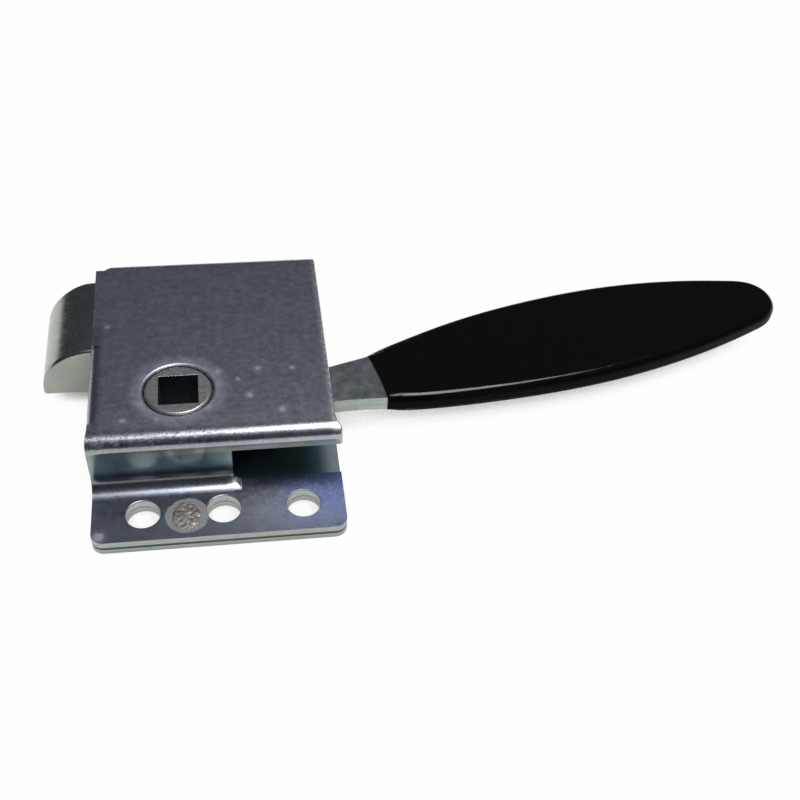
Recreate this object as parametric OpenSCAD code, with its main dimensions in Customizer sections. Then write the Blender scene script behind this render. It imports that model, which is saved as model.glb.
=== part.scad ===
// Slam latch for a platform gate: a folded case on a base plate, a sprung quarter-round bolt,
// a square-drive hub, and a dipped hand lever whose cam finger draws the bolt back.
// Millimetres. The origin is on the hub's axis, in the mounting face under the base plate.
// +Z points out of that face, +X towards the grip, +Y away from the bolting flange.

/* [Case] */
// Width of the top plate along X
case_width = 68.05; // [62:0.05:74]
// Depth of the case along Y, over both bends
case_depth = 77.05; // [71:0.05:85]
// Height of the top plate above the mounting face
case_height = 24; // [23.8:0.1:27]
// Sheet thickness of the folded cover
cover_gauge = 2.66; // [2.4:0.01:2.9]
// Sheet thickness of the base plate
base_gauge = 1.9; // [1.5:0.05:2.3]
// Outside radius of the cover's front and back bends
bend_r = 4; // [3.2:0.1:4.5]
// Outside radius of the bend at the top of the left wall
side_bend_r = 3; // [3:0.1:4]
// Lean of the front wall, its top further forward than its foot
wall_lean = 4.8; // [3:0.1:6]
// Distance from the top plate's left edge to the hub's axis
hub_inset_x = 24.75; // [23.5:0.05:26]
// Distance from the front bend to the hub's axis
hub_inset_y = 19.3; // [19.05:0.05:20.85]
// Distance from the front bend to the near end of the left wall
left_wall_start = 7.85; // [6.85:0.05:10.85]
// Length of the left wall along Y
left_wall_length = 31; // [20:0.5:31]
// Width of the cut beside the left wall
slit = 0.15; // [0.1:0.05:0.6]
// Length over which the front corners flare out to the flange's width
flare_length = 5.85; // [4.5:0.05:6.3]
// Width of the notch at the back wall's left end
corner_notch = 2.6; // [2:0.1:4]
// Width of each staking tab that passes through the base plate
stake_width = 10; // [6:0.5:12]

/* [Flange] */
// Overhang of the flange past the top plate's left edge
left_overhang = 0.52; // [0.3:0.01:1.2]
// Overhang of the flange past the top plate's right edge
right_overhang = 1.6; // [0.8:0.01:2]
// Reach of the flange in front of the front bend
flange_reach = 18.55; // [17.65:0.05:23]
// Corner radius of the flange
flange_corner_r = 3.5; // [2:0.5:6]
// Inside radius of the bend at the foot of the front wall
foot_bend_r = 4.5; // [3:0.1:5]
// Diameter of the bolt holes
hole_d = 9.525; // [8:0.005:10]
// Pitch of the bolt holes
hole_pitch = 22.225; // [20:0.005:24]
// Middle bolt hole's distance from the hub's axis along X
hole_row_x = 10.95; // [9:0.05:12]
// Distance of the hole row from the flange's front edge
hole_row_inset = 9.25; // [8:0.05:10]
// Diameter of the plug weld between two holes
weld_d = 7.4; // [5:0.1:8]

/* [Lever window] */
// Distance from the top plate's left edge to the start of the window
window_start = 38.75; // [37:0.05:41]
// Height of the lip left above the window
lip_height = 5.75; // [5.25:0.05:7]
// Radius of the window's lower left corner
window_corner_r = 3; // [2:0.1:3.2]

/* [Bolt] */
// Distance from the hub's axis to the bolt's near side
bolt_front = 20.64; // [20:0.02:22]
// Reach of the bolt past the top plate's left edge, which is also its travel
bolt_throw = 16.5; // [14:0.1:17]
// Height of the straight land under the nose
nose_land = 0.64; // [0.4:0.02:1.5]
// Rounding of the bolt's long edges
bolt_edge_r = 1.2; // [0.8:0.1:1.6]
// Relief angle on the nose's far side
nose_relief = 11; // [0:1:14]
// Sheet thickness of the tray that guides the bolt
tray_gauge = 2.28; // [1.9:0.01:2.4]

/* [Hub] */
// Diameter of the hub's journals
hub_d = 19.05; // [18:0.05:19.5]
// Width of the square drive hole
drive_square = 11.11; // [9:0.01:11.5]

/* [Lever] */
// Thickness of the lever and of the cam plate
blade_gauge = 4.76; // [4:0.01:5]
// Height of the lever's underside above the mounting face
lever_z = 8.24; // [8:0.02:8.6]
// Lever's direction at rest, from +X towards +Y
lever_angle = 11.75; // [8:0.05:13]
// Distance from the hub's axis to the end of the grip
lever_reach = 198.7; // [185:0.1:205]
// Width of the neck at its waist
waist_width = 11.6; // [9:0.1:12]
// Width of the neck where the grip starts
neck_width = 18.4; // [16:0.1:19]
// Radius of the neck's hollow flanks
neck_flank_r = 320; // [260:5:400]

/* [Grip] */
// Distance from the hub's axis to the start of the grip
grip_start = 60; // [56:0.5:66]
// Widest part of the grip
grip_width = 38.3; // [34:0.1:40]
// Distance from the hub's axis to the grip's widest part
grip_waist = 128; // [122:1:134]
// Radius of the grip's long flanks towards the hub
grip_near_r = 270; // [260:1:290]
// Radius of the grip's long flanks towards the end
grip_far_r = 215; // [205:1:230]
// Thickness of the dipped coat
coat = 1.2; // [0.8:0.1:1.4]
// Rounding of the grip's long edges
grip_edge_r = 2.6; // [2:0.1:3]

/* [Springs] */
// Outside diameter of the bolt's spring
bolt_coil_d = 11; // [9:0.1:11.4]
// Wire diameter of the bolt's spring
bolt_wire_d = 1.4; // [1:0.05:1.6]
// Turns of the bolt's spring
bolt_turns = 13; // [9:1:14]
// Wire diameter of the lever's spring
lever_wire_d = 1.2; // [1:0.05:1.3]

/* [Fits] */
// Gap between sliding faces
slide_gap = 0.32; // [0.3:0.01:0.36]
// Radial clearance of a turning journal
run_fit = 0.05; // [0.02:0.01:0.09]
// Gap in the seam between folded sheets
seam_gap = 0.1; // [0.05:0.01:0.15]

/* [Hidden] */
$fn = 72;

zinc = [0.62, 0.64, 0.69];
bright_zinc = [0.72, 0.74, 0.74];
steel = [0.5, 0.5, 0.49];
dark_steel = [0.34, 0.34, 0.36];
vinyl = [0.06, 0.06, 0.065];

// Case planes
left = -hub_inset_x;
right = left + case_width;
front = -hub_inset_y;
back = front + case_depth;
under = case_height - cover_gauge;
seat = base_gauge + seam_gap;
deck = seat + cover_gauge;
flange_left = left - left_overhang;
flange_right = right + right_overhang;
flange_width = flange_right - flange_left;
flange_front = front - flange_reach;
left_wall_front = front + left_wall_start;
left_wall_back = left_wall_front + left_wall_length;
window_left = left + window_start;
bend_front = front + bend_r;
bend_back = back - bend_r;
bend_z = case_height - bend_r;
bend_left = flange_left + side_bend_r;
side_bend_z = case_height - side_bend_r;
flare_back = left_wall_front - slit;
stake_foot = 0.4;
stake_inset = 16;
stakes_x = [left + stake_inset, right - stake_inset];
stake_y = (left_wall_front + left_wall_back) / 2;

// Front wall, leaning out between its two bends
lean_height = bend_z - deck - bend_r * sin(wall_lean);
foot_y = front + bend_r * (1 - cos(wall_lean)) + lean_height * tan(wall_lean);
foot_bend_y = foot_y - foot_bend_r * (1 + sin(wall_lean)) / cos(wall_lean);
foot_bend_z = deck + foot_bend_r;
wall_run = (bend_z - foot_bend_z) * cos(wall_lean) - (bend_front - foot_bend_y) * sin(wall_lean);
lip_run = lip_height - bend_r;
corner_lap = 0.8;

// Flange fixings
hole_row_y = flange_front + hole_row_inset;
holes_x = [hole_row_x - hole_pitch, hole_row_x, hole_row_x + hole_pitch];
weld_shift_x = 0.6;
weld_shift_y = 1.65;
weld_x = hole_row_x - hole_pitch / 2 + weld_shift_x;
weld_y = hole_row_y - weld_shift_y;
weld_depth = 1;
weld_crown = 0.15;

// Hub stack
hub_r = hub_d / 2;
hub_sink = 0.1;
hub_top = case_height - hub_sink;
hub_foot = 0.2;
hub_chamfer = 0.5;
window_gap = 0.5;
hub_window_r = hub_r + window_gap;
shoulder_step = 3.2;
shoulder_r = hub_r + shoulder_step;
land_step = 2;
land_r = hub_r + land_step;
flat_step = 0.3;
land_flat = hub_r + flat_step;
ring_width = 3.5;
ring_r = hub_r + ring_width;
washer_z = base_gauge + slide_gap;
washer_t = 1;
shoulder_z = washer_z + washer_t;
cam_z = lever_z + blade_gauge;
spacer_z = cam_z + blade_gauge;
spacer_top = under - slide_gap;

// Bolt and its tray
tray_top = base_gauge + tray_gauge;
bolt_z = tray_top + slide_gap;
bolt_top = under - slide_gap;
nose_r = bolt_top - bolt_z - nose_land;
rail_back = back - cover_gauge - seam_gap;
bolt_back = rail_back - tray_gauge - slide_gap;
bolt_width = bolt_back - bolt_front;
rail_front = bolt_front - slide_gap - tray_gauge;
bolt_tip = left - bolt_throw;
nose_x = bolt_tip + nose_r;
tray_bend_r = 0.7;
tray_left = left + cover_gauge + seam_gap;
tray_inset = 1.8;
tray_land = 0.6;
tray_right = right - tray_inset;
front_rail_drop = 1.5;
front_rail_top = cam_z - front_rail_drop;
back_rail_drop = 2;
back_rail_top = bolt_top - back_rail_drop;
seat_drop = 2.5;
seat_top = bolt_top - seat_drop;

// Cam finger and its notch in the bolt
finger_r = 4.2;
finger_w = 5.2;
finger_bite = 1.65;
cam_rim = 4.5;
cam_boss_r = hub_r + cam_rim;
lever_rim = 5.5;
lever_boss_r = hub_r + lever_rim;
cam_reach = bolt_front + finger_r + finger_bite;
swing = 2 * asin(bolt_throw / 2 / cam_reach);
cam_angle = 90 + swing / 2;
notch_x = -bolt_throw / 2;
notch_gap = slide_gap + run_fit;
notch_w = 2 * (finger_r + notch_gap);
notch_back = cam_reach + finger_r + 2 * slide_gap;
notch_sink = 0.6;
notch_z = cam_z - notch_sink;
bolt_heel = 9.7;
bolt_end = notch_x + notch_w / 2 + bolt_heel;

// Bolt spring, its pocket and its rod
spring_y = (notch_back + bolt_back) / 2;
spring_z = (bolt_z + bolt_top) / 2;
pocket_gap = 0.8;
pocket_r = bolt_coil_d / 2 + pocket_gap;
pocket_depth = 16;
pocket_x = bolt_end - pocket_depth;
rod_gap = 0.6;
rod_r = bolt_coil_d / 2 - bolt_wire_d - rod_gap;
rod_lead = 4;
rod_x = pocket_x + bolt_throw + rod_lead;
rod_nose = 1;
rod_head_step = 1.6;
rod_head_r = rod_r + rod_head_step;
rod_head_t = 1.2;
seat_face = tray_right - tray_gauge;
seat_gap = 0.5;
seat_width = 2 * (bolt_back - spring_y - seat_gap);
spring_end_gap = 0.1;

// Stop pin and its slot
pin_r = 2;
pin_setback = 9;
pin_x = nose_x + pin_setback;
pin_y = (bolt_front + bolt_back) / 2;
pin_gap = 0.5;
pin_foot = base_gauge + pin_gap;
pin_cover = 2;
pin_top = notch_z - pin_cover;

// Tray rivets
rivet_r = 2;
rivet_head_r = 3.4;
rivet_head_t = 1;
rivet_flush = 0.05;
rivet_inset = 7;
rivets_x = [tray_left + rivet_inset, seat_face - rivet_inset];
rivets_y = [bolt_front + rivet_inset, bolt_back - rivet_inset];

// Lever
waist_x = 30;
neck_root = 9;
grip_half = grip_width / 2;
grip_z = lever_z - coat;
grip_t = blade_gauge + 2 * coat;
tail = lever_reach - grip_waist;
// Radius of the end circle that meets both far flanks smoothly
grip_end_r = (2 * grip_far_r * grip_half - pow(grip_half, 2) - pow(tail, 2)) / (2 * (grip_far_r - tail));

// Lever spring and its post
coil_gap = 0.4;
coil_r = shoulder_r + coil_gap + lever_wire_d / 2;
coil_z = shoulder_z + lever_wire_d / 2;
coil_play = 0.1;
coil_pitch = lever_wire_d + coil_play;
coil_start = 180;
coil_end = lever_angle + 1020;
leg_length = 14;
post_r = 1.6;
post_gap = 0.3;
post_x = -coil_r + lever_wire_d / 2 + post_r;
post_y = sqrt(pow(coil_r + lever_wire_d / 2 + post_r + post_gap, 2) - pow(post_x, 2));
post_drop = 2;
post_top = lever_z - post_drop;

// Outline drawn in Y and Z, extruded along X from x0 to x1
module along_x(x0, x1) {
    translate([x0, 0, 0]) rotate([90, 0, 90]) linear_extrude(x1 - x0) children();
}

// Outline drawn in X and Z, extruded along Y from y0 to y1
module along_y(y0, y1) {
    translate([0, y1, 0]) rotate([90, 0, 0]) linear_extrude(y1 - y0) children();
}

// Sector of a flat ring, from one angle over a sweep
module bend_ring(outer, inner, from, sweep) {
    rim = [for (part = [0, 0.5, 1]) 2 * outer * [cos(from + part * sweep), sin(from + part * sweep)]];
    intersection() {
        difference() {
            circle(outer);
            circle(inner);
        }
        polygon(concat([[0, 0]], rim));
    }
}

// Rectangle with all corners round
module round_rect(w, h, r) {
    translate([r, 0]) square([w - 2 * r, h]);
    translate([0, r]) square([w, h - 2 * r]);
    for (x = [r, w - r], y = [r, h - r]) translate([x, y]) circle(r);
}

// Flange plan with its two front corners round, reaching back to y1
module flange_plan(y1) {
    r = flange_corner_r;
    translate([flange_left + r, flange_front]) square([flange_width - 2 * r, y1 - flange_front]);
    translate([flange_left, flange_front + r]) square([flange_width, y1 - flange_front - r]);
    for (x = [flange_left + r, flange_right - r]) translate([x, flange_front + r]) circle(r);
}

// Drills for the three bolt holes, through both layers
module bolt_holes() {
    for (x = holes_x) translate([x, hole_row_y, -1]) cylinder(d = hole_d, h = deck + 2);
}

// Staking tabs of the cover from height z0 up, and with a gap the slots for them
module stakes(gap, z0) {
    long = stake_width + 2 * gap;
    short = cover_gauge + 2 * gap;
    for (x = stakes_x)
        translate([x - long / 2, back - cover_gauge - gap, z0]) cube([long, short, seat - z0]);
    translate([flange_left - gap, stake_y - long / 2, z0]) cube([short, long, seat - z0]);
}

// Sliver of plan that curves out from a side edge to the flange's width
module flare(edge, tip) {
    reach = abs(tip - edge);
    r = (pow(flare_length, 2) + pow(reach, 2)) / (2 * reach);
    difference() {
        translate([min(edge, tip), front]) square([reach, flare_back - front]);
        translate([edge + sign(tip - edge) * r, flare_back]) circle(r, $fn = 180);
    }
}

// Plan of the top plate with its front and back bends
module top_plan() {
    notch = left + corner_notch;
    strip = bend_left - left;
    translate([bend_left, front]) square([right - bend_left, bend_back - front]);
    translate([left, left_wall_back + slit]) square([strip, bend_back - left_wall_back - slit]);
    translate([left, front]) square([strip, flare_back - front]);
    polygon([[notch, bend_back], [right, bend_back], [right, back], [notch + bend_r, back]]);
    flare(left, flange_left);
    flare(right, flange_right);
}

// Section of the top plate in Y and Z, from the front bend to the back bend
module top_section() {
    inner_r = bend_r - cover_gauge;
    translate([bend_front, under]) square([bend_back - bend_front, cover_gauge]);
    translate([bend_front, bend_z]) bend_ring(bend_r, inner_r, 90, 90 + wall_lean);
    translate([bend_back, bend_z]) bend_ring(bend_r, inner_r, 0, 90);
}

// Section of the leaning front wall, running down from the front bend
module front_wall(run) {
    translate([bend_front, bend_z]) rotate(wall_lean) translate([-bend_r, -run]) square([cover_gauge, run]);
}

// Round corner of the window, left standing on the sill beside the foot bend
module window_corner() {
    r = window_corner_r;
    y0 = foot_bend_y + corner_lap;
    difference() {
        along_x(window_left - corner_lap, window_left + r - corner_lap) difference() {
            translate([y0, seat]) square([foot_y - y0, cover_gauge + r]);
            translate([foot_bend_y, foot_bend_z]) circle(foot_bend_r);
        }
        along_y(foot_bend_y, foot_y + 1) translate([window_left + r, deck + r]) circle(r);
    }
}

module cover() {
    color(zinc) difference() {
        union() {
            intersection() {
                along_x(flange_left, flange_right) top_section();
                linear_extrude(case_height) top_plan();
            }
            // Lip over the window, and the front wall left of it with its foot bend
            along_x(flange_left, flange_right) front_wall(lip_run);
            along_x(flange_left, window_left) {
                front_wall(wall_run);
                translate([foot_bend_y, foot_bend_z])
                    bend_ring(foot_bend_r + cover_gauge, foot_bend_r, -90, 90 + wall_lean);
            }
            window_corner();
            // Flange, ending at the window in a straight sill
            translate([0, 0, seat]) linear_extrude(cover_gauge) {
                flange_plan(foot_bend_y);
                translate([window_left, foot_bend_y])
                    square([flange_right - window_left, foot_y - foot_bend_y]);
            }
            // Back wall
            along_x(left + corner_notch + bend_r, right)
                translate([back - cover_gauge, seat]) square([cover_gauge, bend_z - seat]);
            // Left wall, in front of the bolt and flush with the flange
            along_y(left_wall_front, left_wall_back) {
                translate([bend_left, side_bend_z]) bend_ring(side_bend_r, side_bend_r - cover_gauge, 90, 90);
                translate([flange_left, seat]) square([cover_gauge, side_bend_z - seat]);
            }
            stakes(0, stake_foot);
        }
        translate([0, 0, under - 1]) cylinder(r = hub_window_r, h = cover_gauge + 2);
        bolt_holes();
        translate([weld_x, weld_y, seat - 1]) cylinder(d = weld_d, h = cover_gauge + 2);
    }
}

module base_plate() {
    color(bright_zinc) difference() {
        linear_extrude(base_gauge) flange_plan(back);
        translate([0, 0, -1]) cylinder(r = hub_r + run_fit, h = base_gauge + 2);
        bolt_holes();
        translate([weld_x, weld_y, base_gauge - weld_depth]) cylinder(d = weld_d, h = weld_depth + 1);
        stakes(seam_gap, -1);
        rivet_group();
        translate([post_x, post_y, -1]) cylinder(r = post_r, h = base_gauge + 2);
    }
}

module flange_weld() {
    color(steel) translate([weld_x, weld_y, base_gauge - weld_depth])
        cylinder(d = weld_d, h = weld_depth + seam_gap + cover_gauge + weld_crown);
}

// Rivets with a countersunk head at each end, right through the base plate and the tray
module rivet_group() {
    for (x = rivets_x, y = rivets_y) translate([x, y, 0]) {
        cylinder(r = rivet_r, h = tray_top);
        cylinder(r1 = rivet_head_r, r2 = rivet_r, h = rivet_head_t);
        translate([0, 0, tray_top - rivet_head_t])
            cylinder(r1 = rivet_r, r2 = rivet_head_r, h = rivet_head_t);
    }
}

// The rivets stop just short of both faces
module tray_rivets() {
    color(steel) intersection() {
        rivet_group();
        translate([left, bolt_front, rivet_flush])
            cube([case_width, bolt_width, tray_top - 2 * rivet_flush]);
    }
}

// Cross-section of the tray in Y and Z: a floor with a rail folded up along each side
module tray_section() {
    outer = tray_bend_r + tray_gauge;
    rail_foot = base_gauge + outer;
    translate([rail_front + outer, base_gauge]) square([rail_back - rail_front - 2 * outer, tray_gauge]);
    translate([rail_front + outer, rail_foot]) bend_ring(outer, tray_bend_r, 180, 90);
    translate([rail_back - outer, rail_foot]) bend_ring(outer, tray_bend_r, 270, 90);
    translate([rail_front, rail_foot]) square([tray_gauge, front_rail_top - rail_foot]);
    translate([rail_back - tray_gauge, rail_foot]) square([tray_gauge, back_rail_top - rail_foot]);
}

module bolt_tray() {
    outer = tray_bend_r + tray_gauge;
    seat_front = spring_y - seat_width / 2;
    color(bright_zinc) difference() {
        union() {
            along_x(tray_left, tray_right - outer - tray_land) tray_section();
            // Spring seat folded up at the far end of the floor
            along_y(seat_front, seat_front + seat_width) {
                translate([tray_right - outer - tray_land, base_gauge]) square([tray_land, tray_gauge]);
                translate([tray_right - outer, base_gauge + outer]) bend_ring(outer, tray_bend_r, 270, 90);
                translate([seat_face, base_gauge + outer])
                    square([tray_gauge, seat_top - base_gauge - outer]);
            }
        }
        // Slot that the bolt's stop pin rides in
        translate([0, 0, base_gauge - 1]) linear_extrude(tray_gauge + 2) {
            translate([pin_x, pin_y - pin_r - slide_gap]) square([bolt_throw, 2 * (pin_r + slide_gap)]);
            for (x = [pin_x, pin_x + bolt_throw]) translate([x, pin_y]) circle(pin_r + slide_gap);
        }
        rivet_group();
        translate([seat_face - 1, spring_y, spring_z]) rotate([0, 90, 0])
            cylinder(r = rod_r, h = tray_gauge + 2);
    }
}

module spring_rod() {
    color(steel) translate([rod_x, spring_y, spring_z]) rotate([0, 90, 0]) {
        cylinder(r1 = rod_r - rod_nose, r2 = rod_r, h = rod_nose);
        translate([0, 0, rod_nose]) cylinder(r = rod_r, h = tray_right - rod_x - rod_nose);
        translate([0, 0, tray_right - rod_x]) cylinder(r1 = rod_head_r, r2 = rod_r, h = rod_head_t);
    }
}

module spring_post() {
    color(steel) translate([post_x, post_y, hub_foot]) cylinder(r = post_r, h = post_top - hub_foot);
}

// Solid of the bolt before its notch, pocket and relief
module bolt_blank() {
    nose_z = bolt_z + nose_land;
    // Quarter-round nose, turned about the line where its arc is centred
    translate([nose_x, 0, nose_z]) rotate([90, 0, 0]) rotate([0, 0, 90]) rotate_extrude(angle = 90)
        intersection() {
            translate([-nose_r, -bolt_back]) round_rect(2 * nose_r, bolt_width, bolt_edge_r);
            translate([0, -bolt_back]) square([nose_r, bolt_width]);
        }
    // Land under the nose
    intersection() {
        translate([bolt_tip, bolt_front, bolt_z]) linear_extrude(nose_land)
            round_rect(2 * nose_r, bolt_width, bolt_edge_r);
        translate([bolt_tip, bolt_front, bolt_z]) cube([nose_r, bolt_width, nose_land]);
    }
    // Straight body
    along_x(nose_x, bolt_end) intersection() {
        translate([bolt_front, bolt_top - 2 * nose_r]) round_rect(bolt_width, 2 * nose_r, bolt_edge_r);
        translate([bolt_front, bolt_z]) square([bolt_width, bolt_top - bolt_z]);
    }
}

module latch_bolt() {
    color(dark_steel) difference() {
        bolt_blank();
        // Relief on the far side of the nose
        translate([left, bolt_back, 0]) rotate(nose_relief) translate([-2 * nose_r, 0, 0])
            cube([2 * nose_r, bolt_width, case_height]);
        // Notch for the cam finger, open to the front and the top
        translate([notch_x - notch_w / 2, bolt_front - 1, notch_z])
            cube([notch_w, notch_back - bolt_front + 1, bolt_top]);
        // Pocket for the spring
        translate([pocket_x, spring_y, spring_z]) rotate([0, 90, 0])
            cylinder(r = pocket_r, h = bolt_end - pocket_x + 1);
        translate([pin_x, pin_y, bolt_z - 1]) cylinder(r = pin_r, h = pin_top - bolt_z + 1);
    }
}

module stop_pin() {
    color(steel) translate([pin_x, pin_y, pin_foot]) cylinder(r = pin_r, h = pin_top - pin_foot);
}

module hub() {
    color(steel) difference() {
        union() {
            translate([0, 0, hub_foot]) cylinder(r = hub_r, h = hub_top - hub_chamfer - hub_foot);
            translate([0, 0, hub_top - hub_chamfer])
                cylinder(r1 = hub_r, r2 = hub_r - hub_chamfer, h = hub_chamfer);
            translate([0, 0, shoulder_z]) cylinder(r = shoulder_r, h = lever_z - shoulder_z);
            translate([0, 0, lever_z]) linear_extrude(2 * blade_gauge) hub_land();
        }
        translate([0, 0, case_height / 2])
            cube([drive_square, drive_square, 2 * case_height], center = true);
    }
}

// Round land with two flats that carries the lever and the cam plate
module hub_land() {
    intersection() {
        circle(land_r);
        square([2 * land_flat, 3 * land_r], center = true);
    }
}

// Ring round the hub
module hub_ring(z0, z1) {
    translate([0, 0, z0]) difference() {
        cylinder(r = ring_r, h = z1 - z0);
        translate([0, 0, -1]) cylinder(r = hub_r, h = z1 - z0 + 2);
    }
}

module hub_washer() {
    color(bright_zinc) hub_ring(washer_z, shoulder_z);
}

module hub_spacer() {
    color(steel) hub_ring(spacer_z, spacer_top);
}

module cam_plate() {
    root = cam_boss_r * 0.7;
    shank = finger_w / 2;
    shank_start = rail_front;
    color(bright_zinc) translate([0, 0, cam_z]) linear_extrude(blade_gauge) difference() {
        union() {
            circle(cam_boss_r);
            rotate(cam_angle) {
                polygon([[root, -root], [shank_start, -shank], [cam_reach, -shank],
                         [cam_reach, shank], [shank_start, shank], [root, root]]);
                translate([cam_reach, 0]) circle(finger_r);
            }
        }
        hub_land();
    }
}

// Plan of the grip drawn in by inset: two long flanks a side and a round end
module paddle_plan(inset) {
    intersection() {
        translate([grip_start, -grip_half]) square([grip_waist - grip_start, grip_width]);
        flank_lens(grip_near_r, inset);
    }
    intersection() {
        translate([grip_waist, -grip_half]) square([tail - grip_end_r, grip_width]);
        flank_lens(grip_far_r, inset);
    }
    translate([lever_reach - grip_end_r, 0]) circle(grip_end_r - inset);
}

// Lens between the two flank circles of one radius
module flank_lens(r, inset) {
    intersection() {
        translate([grip_waist, grip_half - r]) circle(r - inset, $fn = 360);
        translate([grip_waist, r - grip_half]) circle(r - inset, $fn = 360);
    }
}

// Half the neck's width between its root and its waist
function neck_half(along) =
    neck_root + (waist_width / 2 - neck_root) * (along - neck_root) / (waist_x - neck_root);

// Plan of the neck: straight from the boss to its waist, then widening between hollow flanks
module neck_plan() {
    neck = neck_width / 2;
    waist = waist_width / 2;
    flank = [grip_start - waist_x, neck - waist];
    rise = sqrt(pow(neck_flank_r, 2) - pow(norm(flank) / 2, 2)) / norm(flank);
    centre = [waist_x, waist] + flank / 2 + rise * [-flank[1], flank[0]];
    polygon([[neck_root, -neck_root], [waist_x, -waist], [waist_x, waist], [neck_root, neck_root]]);
    difference() {
        polygon([[waist_x, -waist], [grip_start, -neck], [grip_start, neck], [waist_x, waist]]);
        for (side = [-1, 1]) translate([centre[0], side * centre[1]]) circle(neck_flank_r, $fn = 720);
    }
}

module lever_blade() {
    color(zinc) translate([0, 0, lever_z]) linear_extrude(blade_gauge) difference() {
        rotate(lever_angle) {
            circle(lever_boss_r);
            neck_plan();
            paddle_plan(coat);
        }
        hub_land();
    }
}

// Disc with a round-edged rim, for the grip's flanks and end
module rim_disc(r) {
    rotate_extrude($fn = 360) intersection() {
        translate([-r, 0]) round_rect(2 * r, grip_t, grip_edge_r);
        square([r, grip_t]);
    }
}

// Stretch of the grip between two flank discs of one radius
module flank_stretch(x0, x1, r) {
    intersection() {
        translate([x0, -grip_width, -1]) cube([x1 - x0, 2 * grip_width, grip_t + 2]);
        translate([grip_waist, grip_half - r, 0]) rim_disc(r);
        translate([grip_waist, r - grip_half, 0]) rim_disc(r);
    }
}

module grip() {
    end_x = lever_reach - grip_end_r;
    color(vinyl) difference() {
        rotate(lever_angle) translate([0, 0, grip_z]) {
            flank_stretch(grip_start, grip_waist, grip_near_r);
            flank_stretch(grip_waist, end_x, grip_far_r);
            translate([end_x, 0, 0]) rim_disc(grip_end_r);
        }
        rotate(lever_angle) translate([0, 0, lever_z]) linear_extrude(blade_gauge) paddle_plan(coat);
    }
}

// Round wire swept along a path that never runs straight up
module wire(path, r, sides = 10) {
    last = len(path) - 1;
    rings = [for (i = [0:last])
        let (
            step = path[min(i + 1, last)] - path[max(i - 1, 0)],
            flat = sqrt(pow(step[0], 2) + pow(step[1], 2)),
            side = [step[1] / flat, -step[0] / flat, 0],
            up = cross(side, step / norm(step))
        )
        for (k = [0:sides - 1])
            path[i] + r * (cos(360 * k / sides) * side - sin(360 * k / sides) * up)];
    skin = [for (i = [0:last - 1], k = [0:sides - 1])
        let (next = (k + 1) % sides)
        [i * sides + k, i * sides + next, (i + 1) * sides + next, (i + 1) * sides + k]];
    start_cap = [for (k = [sides - 1:-1:0]) k];
    end_cap = [for (k = [0:sides - 1]) last * sides + k];
    polyhedron(points = rings, faces = concat(skin, [start_cap, end_cap]));
}

module bolt_spring() {
    steps = 18;
    mean_r = (bolt_coil_d - bolt_wire_d) / 2;
    span = seat_face - pocket_x - bolt_wire_d - 2 * spring_end_gap;
    open_pitch = (span - 2 * bolt_wire_d) / (bolt_turns - 2);
    path = [for (i = [0:bolt_turns * steps])
        let (
            turn = i / steps,
            closed = min(turn, 1) + max(turn - bolt_turns + 1, 0),
            height = closed * bolt_wire_d + (turn - closed) * open_pitch
        )
        [mean_r * cos(360 * turn), mean_r * sin(360 * turn), height]];
    color(steel) translate([pocket_x + bolt_wire_d / 2 + spring_end_gap, spring_y, spring_z])
        rotate([0, 90, 0]) wire(path, bolt_wire_d / 2);
}

module lever_spring() {
    step = 15;
    top_z = coil_z + coil_pitch * (coil_end - coil_start) / 360;
    leg_start = coil_r + 2 * lever_wire_d;
    leg_side = lever_wire_d / 2 + coil_play;
    hook_z = lever_z + blade_gauge / 2;
    // The free leg rises beside the neck, laid out along the lever's axis and across it
    leg = [for (part = [0, 0.5, 1])
        let (along = leg_start + part * (waist_x - leg_start))
        [along, -neck_half(along) - leg_side, top_z + part * (hook_z - top_z)]];
    path = concat(
        [[-coil_r, leg_length, coil_z], [-coil_r, leg_length / 2, coil_z]],
        [for (a = [coil_start:step:coil_end])
            [coil_r * cos(a), coil_r * sin(a), coil_z + coil_pitch * (a - coil_start) / 360]],
        [for (p = leg)
            [p[0] * cos(lever_angle) - p[1] * sin(lever_angle),
             p[0] * sin(lever_angle) + p[1] * cos(lever_angle), p[2]]]);
    color(steel) wire(path, lever_wire_d / 2);
}

cover();
base_plate();
flange_weld();
bolt_tray();
tray_rivets();
spring_rod();
spring_post();
latch_bolt();
stop_pin();
bolt_spring();
hub();
hub_washer();
hub_spacer();
cam_plate();
lever_blade();
grip();
lever_spring();
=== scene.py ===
from math import cos, exp, hypot, pi, radians, sin
from types import SimpleNamespace

import bmesh
import bpy
from mathutils import Matrix, Vector, noise


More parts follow.
